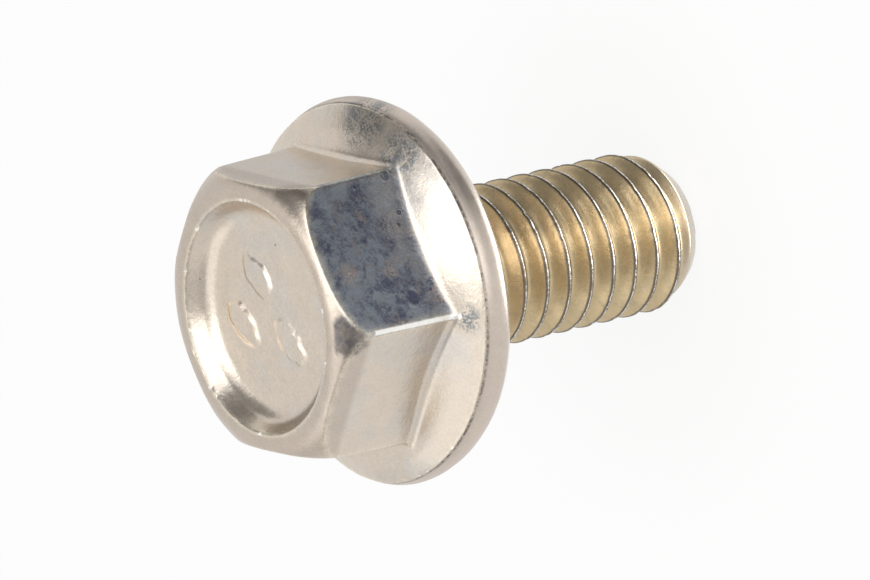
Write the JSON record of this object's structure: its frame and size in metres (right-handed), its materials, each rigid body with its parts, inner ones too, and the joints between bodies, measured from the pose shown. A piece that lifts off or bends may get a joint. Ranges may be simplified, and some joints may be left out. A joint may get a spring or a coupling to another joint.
{
  "type": "hexagon flange bolt",
  "caption": "Short hexagon head bolt with a wide rounded flange, a round recess in its top and a right-hand thread that runs up to a short neck.",
  "frame": {"origin": "centre of the bearing face under the flange", "axes": "+Z along the bolt's axis towards the top of the head, the shank points to -Z, two corners of the hexagon lie on the X axis"},
  "size_m": [0.0138, 0.0138, 0.018],
  "materials": {
    "zinc_plating": "zinc plated and passivated, satin, slightly yellow on the thread"
  },
  "bodies": {
    "root": {"flange_bolt": "zinc_plating"}
  },
  "joints": []
}
